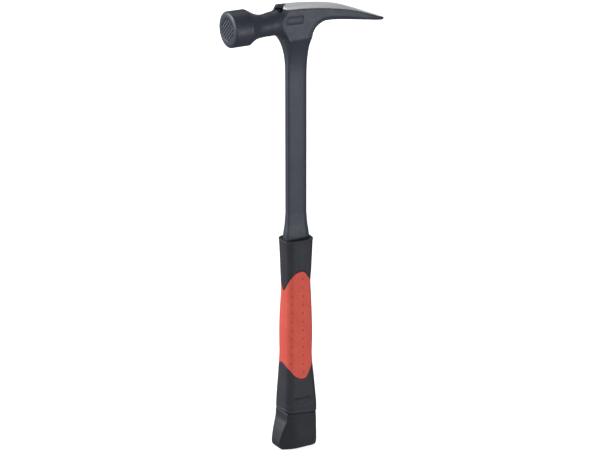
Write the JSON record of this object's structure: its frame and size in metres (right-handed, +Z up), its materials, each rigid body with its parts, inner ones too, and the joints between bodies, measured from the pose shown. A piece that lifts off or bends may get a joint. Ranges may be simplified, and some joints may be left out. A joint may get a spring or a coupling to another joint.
{
  "type": "brick hammer",
  "caption": "Long one-piece forged hammer: round milled face, solid arched pick, magnetic nail holder, flat shank, black two-part handle with a soft red band and a flared butt cap",
  "frame": {"origin": "centre line of the shank where it meets the flat end face of the butt cap", "axes": "+Z up the shank to the head, +X along the pick, -X out of the striking face, Y across the head; the XZ plane is the hammer's plane of symmetry"},
  "size_m": [0.168, 0.0342, 0.4447],
  "materials": {
    "coated_steel": "satin black powder coat over forged steel; the ground top of the head is bare",
    "seat_black": "semi-gloss moulded",
    "magnet_steel": "plain plated",
    "grip_black": "fine moulded texture",
    "grip_red": "soft, fine-textured, with rows of small dimples",
    "cap_black": "fine moulded texture"
  },
  "bodies": {
    "root": {"forged_body": "coated_steel", "magnet_seat": "seat_black", "nail_magnet": "magnet_steel", "grip_sleeve": "grip_black", "grip_band": "grip_red", "butt_cap": "cap_black"}
  },
  "joints": []
}
